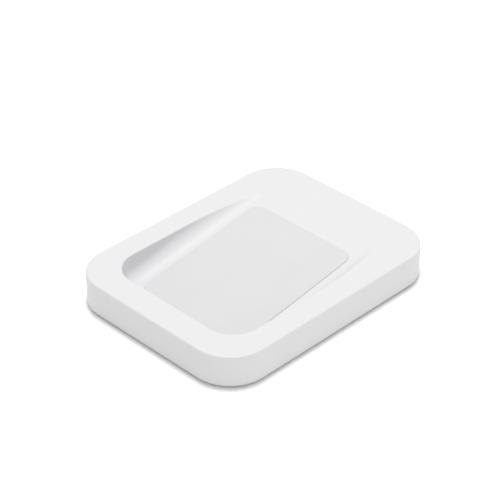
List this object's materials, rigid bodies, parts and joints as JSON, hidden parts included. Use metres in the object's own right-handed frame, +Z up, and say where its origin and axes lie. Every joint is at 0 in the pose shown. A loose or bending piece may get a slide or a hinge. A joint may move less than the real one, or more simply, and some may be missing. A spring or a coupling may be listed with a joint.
{
  "type": "wireless charging pad",
  "caption": "Flat white wireless charging pad: a low rounded slab with a phone well whose floor slopes up to the rear.",
  "frame": {"origin": "middle of the footprint, on the table, under the non-slip mat", "axes": "+X right, +Y to the rear where the power inlet is, +Z up; the phone's foot points to -Y"},
  "size_m": [0.0834, 0.1084, 0.0134],
  "materials": {
    "housing_white": "fine satin, moulded ABS",
    "cradle_silicone": "matt silicone",
    "base_white": "matt moulded ABS",
    "adhesive_film": "thin double-sided film",
    "mat_silicone": "matt silicone",
    "copper_wire": "enamelled stranded copper",
    "ferrite": "dark sintered ferrite",
    "carrier_black": "black moulded plastic",
    "sensor_glass": "epoxy bead with coated wires",
    "board_green": "green solder mask on glass-epoxy board",
    "chip_black": "black moulding compound",
    "capacitor_ceramic": "tan ceramic",
    "can_aluminium": "drawn can",
    "plated_steel": "bright plated",
    "lamp_body": "white lamp body with a clear lens",
    "clear_acrylic": "clear acrylic",
    "contact_gold": "gold plated",
    "solder": "bright solder",
    "screw_steel": "zinc plated"
  },
  "bodies": {
    "root": {"top_housing": "housing_white", "cradle_liner": "cradle_silicone", "base_plate": "base_white", "mat_adhesive": "adhesive_film", "non_slip_mat": "mat_silicone", "transmitter_coil": "copper_wire", "coil_lead_outer": "copper_wire", "coil_lead_inner": "copper_wire", "coil_adhesive": "adhesive_film", "ferrite_shield": "ferrite", "coil_carrier": "carrier_black", "coil_thermistor": "sensor_glass", "main_pcb": "board_green", "controller_ic": "chip_black", "driver_ics": "chip_black", "power_mosfets": "chip_black", "resonant_capacitors": "capacitor_ceramic", "filter_inductor": "ferrite", "input_capacitors": "can_aluminium", "ceramic_capacitors": "capacitor_ceramic", "chip_resistors": "chip_black", "sense_resistor": "chip_black", "crystal": "plated_steel", "status_led": "lamp_body", "light_pipe": "clear_acrylic", "inlet_shell": "plated_steel", "inlet_insulator": "chip_black", "inlet_contacts": "contact_gold", "solder_joints": "solder", "housing_screws": "screw_steel", "pcb_screws": "screw_steel"}
  },
  "joints": []
}
